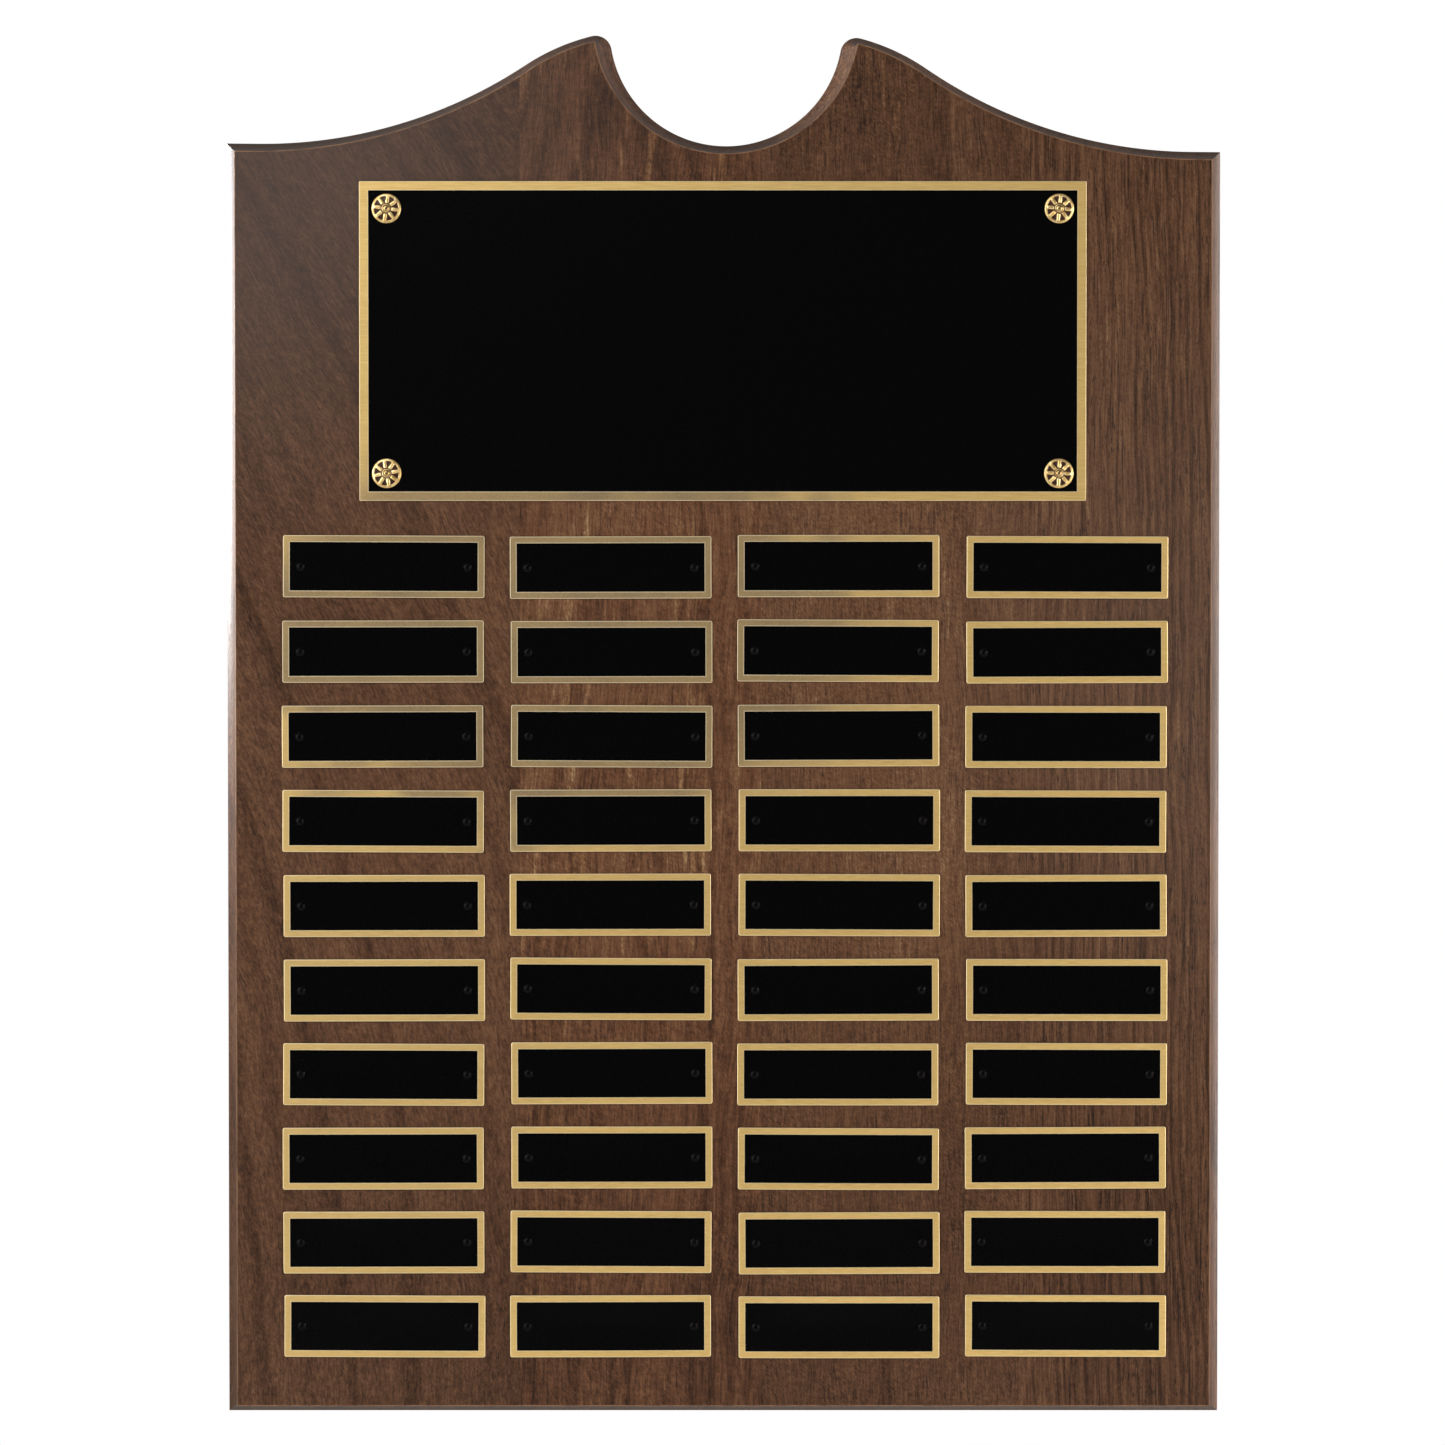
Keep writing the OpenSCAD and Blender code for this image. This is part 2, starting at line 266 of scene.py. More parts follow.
def walnut(name, seed, lean=0.0, arch=0.0, pith=(0.0, 60.0), taper=0.0, ring=5.0, rings=0.10, wave=1.0,
           curl=0.10, streaks=0.0, pore=0.3, pores_long=15.0, tone=0.5, fade=0.0, red=0.0, fibres=8.0):
    """Satin-lacquered walnut with its grain up the board.

    lean turns the grain and arch bends it over more and more towards the top. pith is where the
    middle of the tree lies, across and behind the face, and taper is how fast the face runs out of
    its rings. rings, wave, curl, streaks and pore say how much each of them shows. fibres and
    pores_long are how long the fibres and the longest pores look, and fade darkens the top.
    """
    g = material_graph(name)
    straight = g.place()
    point = g.place(lean=lean)
    height = g.math("ADD", g.node("ShaderNodeSeparateXYZ", {"Vector": point}).outputs["Z"], BOARD_FOOT)
    leaning = g.math("MULTIPLY", g.math("MULTIPLY", height, height), arch / 2)
    point = g.vector("ADD", point, g.node("ShaderNodeCombineXYZ", {"X": leaning}).outputs[0])
    seeded = g.vector("ADD", point, (331.0 * seed, 57.0 * seed, 713.0 * seed))
    axes = g.node("ShaderNodeSeparateXYZ", {"Vector": point})

    # The grain bends gently from side to side on its way up
    bend = g.total(g.sway(seeded, (40.0, 40.0, 60.0), 3.0 * wave),
                   g.sway(seeded, (7.0, 7.0, 16.0), 0.5 * wave))
    bent = g.vector("ADD", seeded, g.node("ShaderNodeCombineXYZ", {"X": bend}).outputs[0])

    # Growth rings round a wandering pith
    wander = g.total(g.sway(seeded, (70.0, 70.0, 220.0), 9.0), bend)
    across = g.math("ADD", g.math("SUBTRACT", axes.outputs["X"], pith[0]), wander)
    behind = g.total(axes.outputs["Y"], pith[1], g.math("MULTIPLY", axes.outputs["Z"], taper))
    radius = g.hypotenuse(across, behind)
    turns = g.math("ADD", g.math("DIVIDE", radius, ring), g.sway(seeded, (9.0, 9.0, 120.0), 0.35))
    phase = g.math("FRACT", turns)
    late = g.math("MULTIPLY", g.remap(phase, 0.2, 0.75), g.remap(phase, 1.0, 0.80))
    inputs = {"W": g.math("FLOOR", turns)}
    each = g.node("ShaderNodeTexWhiteNoise", inputs, noise_dimensions="1D").outputs["Value"]
    late = g.math("MULTIPLY", late, g.remap(each, 0.0, 1.0, 0.15, 1.0))

    # Pores are short dark dashes along the grain, thickest where a ring begins
    dashes = g.remap(g.noise(bent, (0.60, 0.60, 4.2), 2.0), 0.56, 0.68)
    lines = g.remap(g.noise(bent, (0.62, 0.62, pores_long), 2.0), 0.54, 0.66)
    crowding = g.remap(g.noise(seeded, (7.0, 7.0, 34.0)), 0.35, 0.65, 0.35, 1.0)
    pores = g.math("MULTIPLY", g.math("MAXIMUM", dashes, lines), crowding)
    pores = g.math("MULTIPLY", pores, g.remap(phase, 0.0, 1.0, 1.0, 0.55))

    fibre = g.sway(bent, (0.80, 0.80, fibres), 1.0, detail=4.0)
    grit = g.sway(bent, (0.45, 0.45, 0.9), 1.0, detail=1.0)
    broad = g.sway(seeded, (45.0, 45.0, 130.0), 1.0, detail=3.0)
    tilted = g.node("ShaderNodeVectorRotate", {"Vector": bent, "Angle": math.radians(40)},
                    rotation_type="Y_AXIS").outputs[0]
    mottle = g.sway(tilted, (0.7, 2.0, 1.9), 1.0, detail=3.0)
    figured = g.remap(g.noise(seeded, (35.0, 35.0, 50.0)), 0.35, 0.6, 0.4, 1.2)
    mottle = g.math("MULTIPLY", mottle, figured)
    ripple = g.sway(bent, (4.0, 4.0, 1.7), 1.0, detail=2.0)
    pale = g.remap(g.noise(bent, (2.4, 2.4, 30.0), 3.0), 0.52, 0.64)
    pale = g.math("MULTIPLY", pale, g.remap(g.noise(seeded, (14.0, 14.0, 70.0)), 0.38, 0.6))
    pale = g.math("MULTIPLY", pale, g.remap(height, 30.0, 230.0, 0.35, 1.0))
    broken = g.remap(g.noise(bent, (0.8, 0.8, 1.4), 2.0), 0.3, 0.62, 0.3, 1.0)
    # Painted light: a lighter, warmer pool over the middle of the board
    painted_light = patch(g, straight, PAINTED_LIGHT_PATCH, 0.85)

    value = g.total(
        tone,
        g.remap(height, 0.0, 2 * BOARD_FOOT, fade, -fade),
        g.math("MULTIPLY", late, -rings),
        g.math("MULTIPLY", fibre, 0.24),
        g.math("MULTIPLY", grit, 0.15),
        g.math("MULTIPLY", broad, 0.11),
        g.math("MULTIPLY", mottle, curl),
        g.math("MULTIPLY", ripple, 0.5 * curl),
        g.math("MULTIPLY", g.math("MULTIPLY", pale, broken), streaks),
        g.math("MULTIPLY", painted_light, 0.175),
        g.math("MULTIPLY", pores, -pore))
    colour = g.ramp(value, WALNUT)
    olive = g.math("MULTIPLY", g.math("MULTIPLY", pale, broken), min(1.0, 2.2 * streaks))
    colour = g.mix(olive, colour, (0.72, 0.80, 0.66, 1.0), "SOFT_LIGHT")
    colour = g.mix(red, colour, (1.0, 0.58, 0.36, 1.0), "SOFT_LIGHT")
    # Painted sheen: a grey haze at the top left and a fainter one on the right, where the lacquer would
    # reflect the lamps
    painted_haze = g.math("MULTIPLY", patch(g, straight, PAINTED_SHEEN_PATCH, 0.8), 0.50)
    painted_sheen = g.math("MULTIPLY", patch(g, straight, FAINT_PAINTED_SHEEN_PATCH, 0.8), 0.20)
    colour = g.mix(g.math("MAXIMUM", painted_haze, painted_sheen), colour, PAINTED_SHEEN_COLOUR)

    # End grain drinks more stain
    normal = g.node("ShaderNodeNewGeometry").outputs["True Normal"]
    facing = g.node("ShaderNodeSeparateXYZ", {"Vector": normal})
    end_grain = g.remap(g.math("ABSOLUTE", facing.outputs["Z"]), 0.45, 0.9)
    colour = g.mix(g.math("MULTIPLY", end_grain, 0.5), colour, (0.030, 0.014, 0.007, 1.0))
    # The arris is lightened, partly as real wear and partly as a painted highlight
    worn_and_lit = g.node("ShaderNodeAttribute", attribute_name="arris").outputs["Fac"]
    rubbed = g.remap(g.noise(seeded, (5.0, 5.0, 9.0), 3.0), 0.3, 0.65, 0.35, 1.0)
    colour = g.mix(g.math("MULTIPLY", worn_and_lit, rubbed), colour, ARRIS_WEAR_AND_HIGHLIGHT)

    relief = g.math("SUBTRACT", g.math("MULTIPLY", fibre, 0.15), pores)
    return g.principled(
        Base_Color=colour,
        Roughness=g.math("ADD", 0.40, g.math("MULTIPLY", pores, 0.2)),
        Specular_IOR_Level=0.14,
        Coat_Weight=0.15,
        Coat_Roughness=0.30,
        Coat_IOR=1.35,
        Normal=g.bump(relief, 0.05, 0.6))


def brushed_brass(name, brush):
    """The bare border of a plate: brass brushed along its length, with painted shade dulling one patch.

    brush is the size of the brush marks in x, y and z.
    """
    g = material_graph(name)
    point = g.place()
    marks = g.noise(point, brush, 3.0, 0.6)
    speckle = g.noise(point, (0.5, 0.5, 0.5), 3.0)
    cloud = g.noise(point, (26.0, 26.0, 16.0), 3.0)
    bright = g.ramp(marks, ((0.25, (0.75, 0.485, 0.150)), (0.5, (0.89, 0.61, 0.22)),
                            (0.75, (1.0, 0.73, 0.31))))
    khaki = g.ramp(speckle, ((0.3, (0.182, 0.128, 0.068)), (0.7, (0.268, 0.195, 0.110))))
    drift = g.sway(point, (30.0, 30.0, 30.0), 22.0)
    wavy = g.vector("ADD", point, g.node("ShaderNodeCombineXYZ", {"X": drift, "Z": drift}).outputs[0])
    # Painted shade: the brass is dulled to khaki over patches at the upper left, with random cloudy
    # mottling added on top
    faint_painted_shade = g.math("MULTIPLY", patch(g, wavy, FAINT_PAINTED_SHADE_PATCH, 0.4), 0.25)
    painted_shade_and_mottle = g.math("MAXIMUM", g.math("MULTIPLY", patch(g, wavy, PAINTED_SHADE_PATCH, 0.22), 0.85), faint_painted_shade)
    painted_shade_and_mottle = g.math("ADD", painted_shade_and_mottle, g.math("MULTIPLY", g.remap(cloud, 0.4, 0.75), 0.12))
    colour = g.mix(painted_shade_and_mottle, bright, khaki)
    # Painted highlights along the plate's outer bevel and where the border meets the black field
    line = g.node("ShaderNodeAttribute", attribute_name="line").outputs["Fac"]
    colour = g.mix(g.math("MULTIPLY", line, 0.55), colour, (1.0, 0.88, 0.62, 1.0))
    rough = g.total(0.36, g.math("MULTIPLY", marks, 0.10), g.math("MULTIPLY", painted_shade_and_mottle, 0.14))
    height = g.math("ADD", marks, g.math("MULTIPLY", speckle, 0.5))
    return g.principled(
        Base_Color=colour,
        Metallic=g.math("SUBTRACT", 0.78, g.math("MULTIPLY", painted_shade_and_mottle, 0.25)),
        Roughness=rough,
        Specular_IOR_Level=0.3,
        Normal=g.bump(height, 0.012, 0.6))


def black_lacquer():
    g = material_graph("black_lacquer")
    point = g.place()
    orange_peel = g.noise(point, (0.9, 0.9, 0.9), 2.0)
    dust = g.remap(g.noise(point, (0.45, 0.45, 0.45), 1.0), 0.80, 0.84)
    dust = g.math("MULTIPLY", dust, 0.6)
    colour = g.mix(dust, (0.0016, 0.0015, 0.0016, 1.0), (0.03, 0.022, 0.017, 1.0))
    return g.principled(
        Base_Color=colour,
        Roughness=g.remap(orange_peel, 0.3, 0.7, 0.20, 0.28),
        Specular_IOR_Level=0.06,
        Normal=g.bump(orange_peel, 0.004, 0.4))


def bright_brass(name, roughness, shade=1.0):
    """Stamped brass sheet, bright on the crests, with painted shade in the hollows. shade darkens it."""
    g = material_graph(name)
    point = g.place()
    grain = g.noise(point, (0.35, 0.35, 0.35), 3.0)
    tone = g.noise(point, (1.8, 1.8, 1.8), 2.0)
    colour = g.ramp(tone, ((0.3, (0.72, 0.46, 0.16)), (0.55, (0.92, 0.66, 0.28)),
                           (0.75, (1.0, 0.80, 0.44))))
    colour = g.mix(1.0 - shade, colour, (0.05, 0.02, 0.008, 1.0))
    hollow = g.node("ShaderNodeAttribute", attribute_name="hollow").outputs["Fac"]
    # Painted shade: the hollows of the stamping are darkened and made less metallic
    colour = g.mix(g.remap(hollow, 0.1, 0.45), colour, (0.045, 0.015, 0.005, 1.0))
    rough = g.math("ADD", roughness, g.math("MULTIPLY", grain, 0.10))
    metal = g.remap(hollow, 0.1, 0.45, 0.80, 0.1)
    return g.principled(
        Base_Color=colour,
        Metallic=metal,
        Roughness=rough,
        Normal=g.bump(grain, 0.005, 0.3))


def black_pin():
    g = material_graph("black_pin")
    point = g.place()
    peel = g.noise(point, (0.5, 0.5, 0.5), 2.0)
    return g.principled(
        Base_Color=g.ramp(peel, ((0.3, (0.0014, 0.0013, 0.0014)), (0.7, (0.0035, 0.0030, 0.0030)))),
        Roughness=g.remap(peel, 0.3, 0.7, 0.08, 0.14),
        Specular_IOR_Level=0.05,
        Normal=g.bump(peel, 0.01, 0.4))


# ---------------------------------------------------------------- the board


def circles_meet(c1, r1, c2, r2):
    """The right-hand point where two circles meet."""
    gap = c2 - c1
    along = (gap.length_squared + r1 * r1 - r2 * r2) / (2 * gap.length)
    aside = math.sqrt(r1 * r1 - along * along)
    unit = gap.normalized()
    return c1 + along * unit + aside * Vector((unit.y, -unit.x))


def arc(centre, radius, start, stop, step, outward):
    """Points along an arc, each with the board's outward normal. outward is -1 on a hollow."""
    count = max(2, round(abs(stop - start) / step))
    turns = [start + (stop - start) * i / count for i in range(count + 1)]
    return [(centre + radius * direction(a), outward * direction(a)) for a in turns]


def right_top():
    """The right half of the shaped top, from the bottom of the bite out to the level shoulder."""
    swept = Vector((math.sin(math.radians(SHOULDER_SWEEP)), math.cos(math.radians(SHOULDER_SWEEP))))
    shoulder = Vector((SHOULDER_X, SHOULDER_Z + SHOULDER_R))
    crown = shoulder - (SHOULDER_R + CROWN_R) * swept
    bite = Vector((0.0, BITE_Z))
    horn = circles_meet(crown, CROWN_R - HORN_R, bite, BITE_R + HORN_R)
    crown_horn, horn_bite = heading(horn - crown), heading(bite - horn)
    path = arc(bite, BITE_R, -90, horn_bite - 180, 2.0, -1)
    path += arc(horn, HORN_R, horn_bite, crown_horn, 6.0, 1)[1:]
    path += arc(crown, CROWN_R, crown_horn, 90 - SHOULDER_SWEEP, 1.5, 1)[1:]
    path += arc(shoulder, SHOULDER_R, 270 - SHOULDER_SWEEP, 270, 1.0, -1)[1:]
    return path


def board_outline(half_w, bottom_z):
    """The back outline: points and how far each moves out for every millimetre of offset."""
    right = right_top()
    left = [(Vector((-p.x, p.y)), Vector((-n.x, n.y))) for p, n in reversed(right)]
    tilt = Matrix.Rotation(math.radians(-TOP_TILT), 2)
    shift = Vector((TOP_SHIFT, 0.0))
    top = [(tilt @ p + shift, tilt @ n) for p, n in left + right[1:]]
    level = tilt @ Vector((1.0, 0.0))
    top_normal = tilt @ Vector((0.0, 1.0))
    ends = []
    for start, x in ((top[0][0], -half_w), (top[-1][0], half_w)):
        corner = start + level * ((x - start.x) / level.x)
        side_normal = Vector((math.copysign(1.0, x), 0.0))
        ends.append((corner, (top_normal + side_normal) / (1 + top_normal.dot(side_normal))))
    foot = [(Vector((x, -bottom_z)), Vector((math.copysign(1.0, x), -1.0))) for x in (half_w, -half_w)]
    return [ends[0], *top, ends[1], *foot]


def edge_profile():
    """From the back to the face: distance in from the outline, height above the back, arris mask."""
    cove_drop = BOARD_T - COVE_LAND
    cove_r = (cove_drop**2 + COVE_W**2) / (2 * COVE_W)
    steps = 10
    profile = [(BACK_EASE + 0.4, 0.0, 0.0), (BACK_EASE, 0.0, 0.0),
               (BACK_EASE * 0.3, BACK_EASE * 0.3, 0.3), (0.0, BACK_EASE, 0.0)]
    for i in range(steps + 1):
        height = COVE_LAND + (cove_drop - ARRIS_R) * i / steps
        inset = COVE_W - cove_r + math.sqrt(cove_r**2 - (BOARD_T - height) ** 2)
        profile.append((inset, height, 0.0))
    edge = profile[-1][0]
    for turn in (30, 60, 90):
        bend = math.radians(turn)
        inset = edge + ARRIS_R * (1 - math.cos(bend))
        profile.append((inset, BOARD_T - ARRIS_R * (1 - math.sin(bend)), 1.0))
    # The last rings stay inside the horn's radius, or the face would fold over itself there
    profile.append((edge + ARRIS_R + 0.08, BOARD_T, 0.8))
    profile.append((edge + ARRIS_R + 0.20, BOARD_T, 0.0))
    return profile


def board_mesh(half_w, bottom_z):
    """The whole board as one closed bmesh, with the arris mask on its vertices."""
    bm = bmesh.new()
    mask = bm.verts.layers.float.new("arris")
    outline = board_outline(half_w, bottom_z)
    rings = []
    for inset, height, worn_and_lit in edge_profile():
        ring = []
        for point, out in outline:
            flat = point - inset * out
            vert = bm.verts.new((flat.x * MM, -height * MM, flat.y * MM))
            vert[mask] = worn_and_lit
            ring.append(vert)
        rings.append(ring)
    bridge(bm, rings)
    bm.faces.new(rings[0])
    bm.faces.new(list(reversed(rings[-1])))
    return bm


def stave_mesh(board, low, high, name):
    """The part of the board between two glue lines, closed again where it was cut."""
    bm = board.copy()
    for x, keep in ((low, 1.0), (high, -1.0)):
        geometry = bm.verts[:] + bm.edges[:] + bm.faces[:]
        cut = bmesh.ops.bisect_plane(
            bm, geom=geometry, plane_co=(x, 0, 0), plane_no=(-keep, 0, 0), clear_outer=True, dist=1e-7)
        cut_edges = [e for e in cut["geom_cut"] if isinstance(e, bmesh.types.BMEdge)]
        if cut_edges:
            bmesh.ops.holes_fill(bm, edges=cut_edges)
    return finish_mesh(bm, name)


def prism(name, outline, y_from, y_to):
    """A closed mesh between two depths, used to cut the keyholes."""
    bm = bmesh.new()
    rings = [[bm.verts.new((x * MM, y * MM, z * MM)) for x, z in outline] for y in (y_from, y_to)]
    bridge(bm, rings)
    bm.faces.new(rings[0])
    bm.faces.new(list(reversed(rings[1])))
    return finish_mesh(bm, name)


def keyhole_cutters(x, z):
    """The keyhole's mouth with its neck, and the wider slot behind the lip."""
    neck_turn = math.degrees(math.asin(KEYHOLE_NECK_R / KEYHOLE_ENTRY_R))
    mouth = [Vector((x, z)) + KEYHOLE_ENTRY_R * direction(a)
             for a in [90 + neck_turn + (360 - 2 * neck_turn) * i / 40 for i in range(41)]]
    top = Vector((x, z + KEYHOLE_TRAVEL))
    mouth += [top + KEYHOLE_NECK_R * direction(180 * i / 14) for i in range(15)]
    slot = [top + KEYHOLE_ENTRY_R * direction(180 * i / 20) for i in range(21)]
    slot += [Vector((x, z)) + KEYHOLE_ENTRY_R * direction(180 + 180 * i / 20) for i in range(21)]
    return (prism("keyhole_mouth", mouth, 1.0, -KEYHOLE_LIP - 0.01),
            prism("keyhole_slot", slot, -KEYHOLE_LIP, -KEYHOLE_DEPTH))


def cut_away(piece, cutter_mesh):
    """Takes a cutter's shape out of a piece, and leaves no modifier on it."""
    cutter = bpy.data.objects.new("cutter", cutter_mesh)
    bpy.context.scene.collection.objects.link(cutter)
    modifier = piece.modifiers.new("cut", "BOOLEAN")
    modifier.operation, modifier.object, modifier.solver = "DIFFERENCE", cutter, "EXACT"
    graph = bpy.context.evaluated_depsgraph_get()
    result = bpy.data.meshes.new_from_object(piece.evaluated_get(graph), depsgraph=graph)
    piece.modifiers.clear()
    result.set_sharp_from_angle(angle=math.radians(SHARP_DEGREES))
    piece.data = result
    bpy.data.objects.remove(cutter)


def build_board():
    low = [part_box(f"stave_{i}")[0] for i in range(1, 5)]
    high = [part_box(f"stave_{i}")[1] for i in range(1, 5)]
    half_w = (high[3].x - low[0].x) / 2 / MM
    bottom_z = -low[0].z / MM
    board = board_mesh(half_w, bottom_z)
    woods = [
        walnut("walnut_1", seed=1, arch=0.0013, pith=(-330.0, 120.0), ring=12.0, rings=0.16,
               curl=0.14, pore=0.18, tone=0.420, fade=0.045, fibres=3.0),
        walnut("walnut_2", seed=2, lean=-2.0, pith=(-45.0, 38.0), taper=0.10, ring=6.5, rings=0.17,
               curl=0.18, streaks=0.26, pore=0.27, tone=0.432, red=0.08),
        walnut("walnut_3", seed=3, lean=1.5, pith=(60.0, 150.0), taper=0.02, ring=7.0, rings=0.12,
               curl=0.22, streaks=0.12, pore=0.27, tone=0.462),
        walnut("walnut_4", seed=4, lean=0.5, pith=(420.0, 60.0), ring=3.4, rings=0.22, wave=0.3,
               curl=0.06, streaks=0.12, pore=0.46, pores_long=34.0, tone=0.505, fibres=14.0),
    ]
    for i in range(4):
        name = f"walnut_stave_{i + 1}"
        piece = link_mesh(name, stave_mesh(board, low[i].x, high[i].x, name), [woods[i]])
        for side in (-1, 1):
            x = side * KEYHOLE_SPACING / 2
            if low[i].x / MM < x < high[i].x / MM:
                for cutter in keyhole_cutters(x, KEYHOLE_Z):
                    cut_away(piece, cutter)
        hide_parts(f"stave_{i + 1}")
    board.free()


# ---------------------------------------------------------------- plates


def grid_lines(half, border, corner, cells):
    """Where the grid lines of half a plate lie, and the whole plate's by symmetry."""
    field = half - border
    inner = [field * i / cells for i in range(cells + 1)]
    strip = [field + 0.4, half - PLATE_BEVEL - 0.4]
    outer = [half - PLATE_BEVEL - 0.02, half - PLATE_BEVEL / 3, half]
    rounding = [half - corner, half - 0.45 * corner] if corner > 2 * PLATE_BEVEL else []
    lines = sorted(inner + strip + rounding + outer)
    return [-v for v in reversed(lines[1:])] + lines


def rounded(u, v, half_u, half_v, corner):
    """Moves a point of a square corner onto a round one."""
    du, dv = abs(u) - (half_u - corner), abs(v) - (half_v - corner)
    if du <= 0 or dv <= 0:
        return u, v
    pull = max(du, dv) / math.hypot(du, dv)
    return (math.copysign(half_u - corner + du * pull, u), math.copysign(half_v - corner + dv * pull, v))


def plate_piece(node, width, height, border, corner, bow, materials):
    """A lacquered plate in a CAD plate's place. bow(u, v) is how far it stands off the wood."""
    low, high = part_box(node)
    centre, turn = middle(node), plate_turn(node)
    thick = (high.y - low.y) / MM
    half_u, half_v = width / 2, height / 2
    us = grid_lines(half_u, border, corner, 9)
    vs = grid_lines(half_v, border, corner, 4)
    field_u, field_v = half_u - border, half_v - border
    bm = bmesh.new()
    line = bm.verts.layers.float.new("line")
    place = Matrix.Translation((centre.x, high.y, centre.z)) @ Matrix.Rotation(turn, 4, "Y")

    def point(u, v, depth):
        du, dv = rounded(u, v, half_u, half_v, corner)
        vert = bm.verts.new(place @ Vector((du * MM, -(depth + bow(u, v)) * MM, dv * MM)))
        edge = min(half_u - abs(u), half_v - abs(v))
        # Mask for the painted highlight lines: the outer bevel and the edge of the black field
        vert[line] = float(edge < PLATE_BEVEL + 0.1 or abs(edge - border) < 0.05)
        return vert

    def front_depth(u, v):
        edge = min(half_u - abs(u), half_v - abs(v))
        return thick - PLATE_BEVEL * (1 - smooth(-0.3 * PLATE_BEVEL, PLATE_BEVEL, edge))

    front = [[point(u, v, front_depth(u, v)) for u in us] for v in vs]
    back = [[point(u, v, PLATE_LIFT) for u in us] for v in vs]
    for rows, is_front in ((front, True), (back, False)):
        for j in range(len(vs) - 1):
            for i in range(len(us) - 1):
                face = bm.faces.new((rows[j][i], rows[j][i + 1], rows[j + 1][i + 1], rows[j + 1][i]))
                mid_u, mid_v = abs(us[i] + us[i + 1]) / 2, abs(vs[j] + vs[j + 1]) / 2
                face.material_index = int(is_front and mid_u < field_u and mid_v < field_v)
    bridge(bm, [rim(back), rim(front)])
    piece = link_mesh(node.replace("plate", "plate_sheet"), finish_mesh(bm, node, 50), materials)
    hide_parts(node)


def rim(rows):
    """The vertices round the edge of a grid, in order."""
    return (rows[0][:-1] + [row[-1] for row in rows[:-1]]
            + list(reversed(rows[-1][1:])) + [row[0] for row in reversed(rows[1:])])


def plate_turn(node):
    """How far a CAD plate is turned in its own plane: the heading of its long way, in radians."""
    centre = middle(node)
    spots = [v.co - centre for v in nodes[node].data.vertices]
    long_way = sum(s.x * s.x for s in spots)
    mixed = sum(s.x * s.z for s in spots)
    return -mixed / long_way


def build_plates():
    materials = [brushed_brass("brushed_brass", (5.0, 5.0, 0.16)), black_lacquer()]
    for row in range(1, 11):
        for column in range(1, 5):
            chance = [math.sin(12.9898 * (row * 7 + column * 3) + 4.1 * k) for k in range(3)]
            arch, lift, ripple = 0.16 + 0.10 * chance[0], 0.05 * chance[1], 0.04 * chance[2]

            def bow(u, v, arch=arch, lift=lift, ripple=ripple):
                along, up = 2 * u / NAME_W, 2 * v / NAME_H
                span = max(0.0, 1 - along * along)
                bend = arch * span * abs(up) ** 1.5 + lift * span * up
                return 0.03 + bend + ripple * math.sin(5 * along) * up * up

            node = f"name_plate_r{row:02d}_c{column}"
            plate_piece(node, NAME_W, NAME_H, NAME_BORDER, NAME_CORNER, bow, materials)

    low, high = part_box("header_plate")
    size = (high - low) / MM
    half_w, half_h = 137.0, 60.0

    def header_bow(u, v):
        return 0.02 + 0.10 * (v / half_h) ** 2 * max(0.0, 1 - (u / half_w) ** 2)

    materials = [brushed_brass("brushed_brass_header", (9.0, 9.0, 0.2)), materials[1]]
    plate_piece("header_plate", size.x, size.z, HEADER_BORDER, HEADER_CORNER, header_bow, materials)


# ---------------------------------------------------------------- rosettes and pins


def petal_height(share, turn):
    """Height of a rosette at a share of its radius and an angle in turns, and how deep in a hollow."""
    between = abs(2 * ((ROSETTE_PETALS * turn) % 1.0) - 1.0)
    width = 0.30 + 0.38 * smooth(0.35, 0.8, share)
    dome = 0.42 + 0.60 * math.sqrt(max(0.0, 1 - (share / 0.99) ** 2))
    ring = smooth(0.33, 0.42, share) * (1 - smooth(0.78, 0.86, share))
    hollow = ring * (1 - smooth(width - 0.22, width + 0.08, between))
    edge = 0.22 * smooth(0.95, 1.0, share)
    groove = smooth(0.26, 0.31, share) * (1 - smooth(0.34, 0.41, share))
    ridge = 0.16 * ring * smooth(0.45, 1.0, between)
    return dome + ridge - 0.50 * hollow - edge - 0.14 * groove, max(hollow, 0.5 * groove)


def rosette_piece(index, material, turn):
    node = f"rosette_{index}"
    low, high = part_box(node)
    centre, radius = middle(node), (high.x - low.x) / 2
    bm = bmesh.new()
    mask = bm.verts.layers.float.new("hollow")
    around, steps = 128, 30
    spokes = [direction(360 * k / around) for k in range(around)]
    rings = []
    for share in [ROSETTE_HOLE + (1 - ROSETTE_HOLE) * i / steps for i in range(steps + 1)]:
        ring = []
        for k, spoke in enumerate(spokes):
            height, hollow = petal_height(share, k / around + turn)
            flat = share * radius * spoke
            vert = bm.verts.new((centre.x + flat.x, high.y - height * MM, centre.z + flat.y))
            vert[mask] = hollow
            ring.append(vert)
        rings.append(ring)
    for share in (1.0, ROSETTE_HOLE):
        flats = [share * radius * spoke for spoke in spokes]
        rings.append([bm.verts.new((centre.x + flat.x, high.y, centre.z + flat.y)) for flat in flats])
    bridge(bm, [*rings, rings[0]])
    piece = link_mesh(f"stamped_rosette_{index}", finish_mesh(bm, node, 60), [material])
    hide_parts(node)


